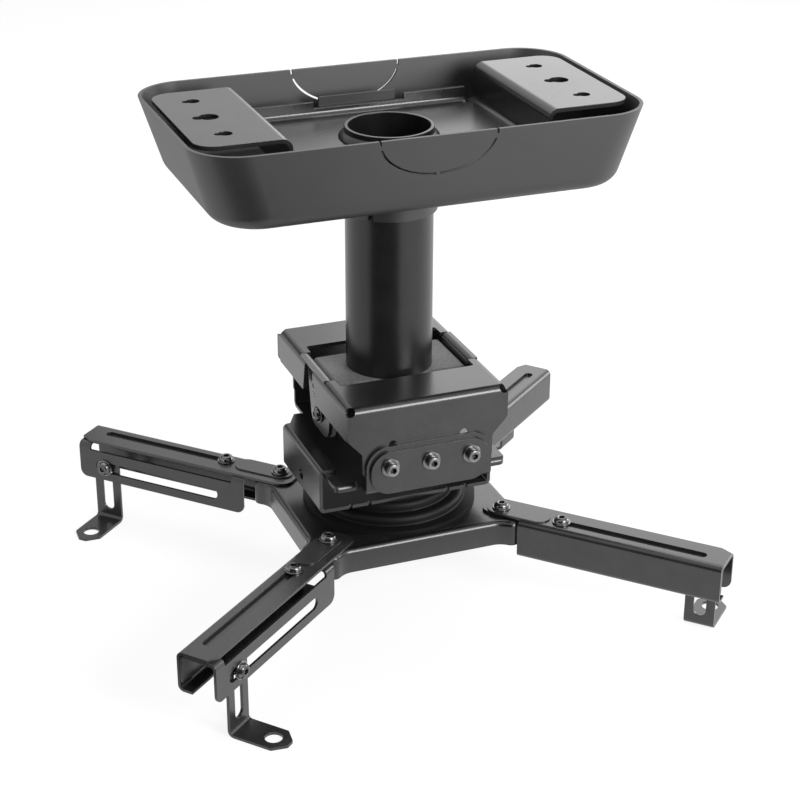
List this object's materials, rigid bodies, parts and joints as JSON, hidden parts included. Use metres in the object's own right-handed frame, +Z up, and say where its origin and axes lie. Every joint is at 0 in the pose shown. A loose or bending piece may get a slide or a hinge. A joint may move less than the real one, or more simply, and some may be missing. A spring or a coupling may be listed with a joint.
{
  "type": "projector ceiling mount",
  "caption": "Drop-pipe ceiling mount for a projector: tray cover, tilting hood, rolling cradle, swivel spider and sliding arms with slotted feet.",
  "frame": {"origin": "where the pipe's axis meets the ceiling: centre of the ceiling plate's top plane", "axes": "+Z up to the ceiling, +X along the ceiling plate's long side, +Y to the back"},
  "size_m": [0.4099, 0.3735, 0.3585],
  "materials": {
    "sheet_coat": "satin powder coat",
    "pipe_coat": "matte powder coat",
    "cover_plastic": "fine matte",
    "fastener_steel": "black oxide"
  },
  "bodies": {
    "ceiling_part": {"ceiling_plate": "sheet_coat", "drop_pipe": "pipe_coat", "pipe_foot": "sheet_coat", "tilt_bolts": "fastener_steel", "tilt_washers": "fastener_steel", "tilt_nuts": "fastener_steel"},
    "cover": {"ceiling_cover": "cover_plastic", "cover_lock_ring": "pipe_coat", "lock_ring_screw": "fastener_steel"},
    "hood": {"hood": "sheet_coat"},
    "cradle": {"cradle": "sheet_coat", "clamp_plate_front": "sheet_coat", "clamp_plate_back": "sheet_coat", "channel": "sheet_coat", "quick_release_screws": "fastener_steel", "roll_bolts": "fastener_steel", "roll_washers": "fastener_steel", "roll_nuts": "fastener_steel"},
    "spider": {"spider": "sheet_coat", "swivel_disc": "sheet_coat", "swivel_bolt": "fastener_steel", "swivel_washer": "fastener_steel", "swivel_nut": "fastener_steel", "arm_pivot_bolts": "fastener_steel", "arm_pivot_washers": "fastener_steel", "arm_pivot_nuts": "fastener_steel"},
    "arm_left_back": {"outer_arm_left_back": "sheet_coat"},
    "slide_left_back": {"arm_slide_left_back": "sheet_coat", "slide_bolt_left_back": "fastener_steel", "slide_washer_left_back": "fastener_steel"},
    "foot_clamp_left_back": {"foot_bolt_left_back": "fastener_steel", "foot_washer_left_back": "fastener_steel", "foot_nut_left_back": "fastener_steel"},
    "foot_left_back": {"projector_foot_left_back": "sheet_coat"},
    "arm_left_front": {"outer_arm_left_front": "sheet_coat"},
    "slide_left_front": {"arm_slide_left_front": "sheet_coat", "slide_bolt_left_front": "fastener_steel", "slide_washer_left_front": "fastener_steel"},
    "foot_clamp_left_front": {"foot_bolt_left_front": "fastener_steel", "foot_washer_left_front": "fastener_steel", "foot_nut_left_front": "fastener_steel"},
    "foot_left_front": {"projector_foot_left_front": "sheet_coat"},
    "arm_right_front": {"outer_arm_right_front": "sheet_coat"},
    "slide_right_front": {"arm_slide_right_front": "sheet_coat", "slide_bolt_right_front": "fastener_steel", "slide_washer_right_front": "fastener_steel"},
    "foot_clamp_right_front": {"foot_bolt_right_front": "fastener_steel", "foot_washer_right_front": "fastener_steel", "foot_nut_right_front": "fastener_steel"},
    "foot_right_front": {"projector_foot_right_front": "sheet_coat"},
    "arm_right_back": {"outer_arm_right_back": "sheet_coat"},
    "slide_right_back": {"arm_slide_right_back": "sheet_coat", "slide_bolt_right_back": "fastener_steel", "slide_washer_right_back": "fastener_steel"},
    "foot_clamp_right_back": {"foot_bolt_right_back": "fastener_steel", "foot_washer_right_back": "fastener_steel", "foot_nut_right_back": "fastener_steel"},
    "foot_right_back": {"projector_foot_right_back": "sheet_coat"}
  },
  "joints": [
    {"name": "cover_drop", "type": "slide", "parent": "ceiling_part", "child": "cover", "axis": [0, 0, 1], "range_m": [-0.1, 0]},
    {"name": "tilt", "type": "hinge", "parent": "ceiling_part", "child": "hood", "pos_m": [0, 0, -0.2], "axis": [1, 0, 0], "range_deg": [-15, 15]},
    {"name": "roll", "type": "hinge", "parent": "hood", "child": "cradle", "pos_m": [0, 0, -0.23], "axis": [0, 1, 0], "range_deg": [-10, 10]},
    {"name": "swivel", "type": "hinge", "parent": "cradle", "child": "spider", "pos_m": [0, 0, -0.285], "axis": [0, 0, 1], "continuous": true},
    {"name": "arm_turn_left_back", "type": "hinge", "parent": "spider", "child": "arm_left_back", "pos_m": [-0.0651, 0.0541, -0.294], "axis": [0, 0, 1], "range_deg": [-35, 35]},
    {"name": "arm_reach_left_back", "type": "slide", "parent": "arm_left_back", "child": "slide_left_back", "axis": [-0.682, 0.7314, 0], "range_m": [0, 0.1025]},
    {"name": "foot_run_left_back", "type": "slide", "parent": "slide_left_back", "child": "foot_clamp_left_back", "axis": [-0.682, 0.7314, 0], "range_m": [-0.0945, 0.003]},
    {"name": "foot_height_left_back", "type": "slide", "parent": "foot_clamp_left_back", "child": "foot_left_back", "axis": [0, 0, 1], "range_m": [0, 0.006]},
    {"name": "arm_turn_left_front", "type": "hinge", "parent": "spider", "child": "arm_left_front", "pos_m": [-0.0651, -0.0541, -0.294], "axis": [0, 0, 1], "range_deg": [-35, 35]},
    {"name": "arm_reach_left_front", "type": "slide", "parent": "arm_left_front", "child": "slide_left_front", "axis": [-0.766, -0.6428, 0], "range_m": [0, 0.1025]},
    {"name": "foot_run_left_front", "type": "slide", "parent": "slide_left_front", "child": "foot_clamp_left_front", "axis": [-0.766, -0.6428, 0], "range_m": [-0.09, 0.0075]},
    {"name": "foot_height_left_front", "type": "slide", "parent": "foot_clamp_left_front", "child": "foot_left_front", "axis": [0, 0, 1], "range_m": [0, 0.006]},
    {"name": "arm_turn_right_front", "type": "hinge", "parent": "spider", "child": "arm_right_front", "pos_m": [0.0651, -0.0541, -0.294], "axis": [0, 0, 1], "range_deg": [-35, 35]},
    {"name": "arm_reach_right_front", "type": "slide", "parent": "arm_right_front", "child": "slide_right_front", "axis": [0.682, -0.7314, 0], "range_m": [0, 0.1025]},
    {"name": "foot_run_right_front", "type": "slide", "parent": "slide_right_front", "child": "foot_clamp_right_front", "axis": [0.682, -0.7314, 0], "range_m": [-0.097, 0.0005]},
    {"name": "foot_height_right_front", "type": "slide", "parent": "foot_clamp_right_front", "child": "foot_right_front", "axis": [0, 0, 1], "range_m": [0, 0.006]},
    {"name": "arm_turn_right_back", "type": "hinge", "parent": "spider", "child": "arm_right_back", "pos_m": [0.0651, 0.0541, -0.294], "axis": [0, 0, 1], "range_deg": [-35, 35]},
    {"name": "arm_reach_right_back", "type": "slide", "parent": "arm_right_back", "child": "slide_right_back", "axis": [0.7716, 0.6361, 0], "range_m": [0, 0.1025]},
    {"name": "foot_run_right_back", "type": "slide", "parent": "slide_right_back", "child": "foot_clamp_right_back", "axis": [0.7716, 0.6361, 0], "range_m": [-0.0925, 0.005]},
    {"name": "foot_height_right_back", "type": "slide", "parent": "foot_clamp_right_back", "child": "foot_right_back", "axis": [0, 0, 1], "range_m": [0, 0.006]}
  ]
}
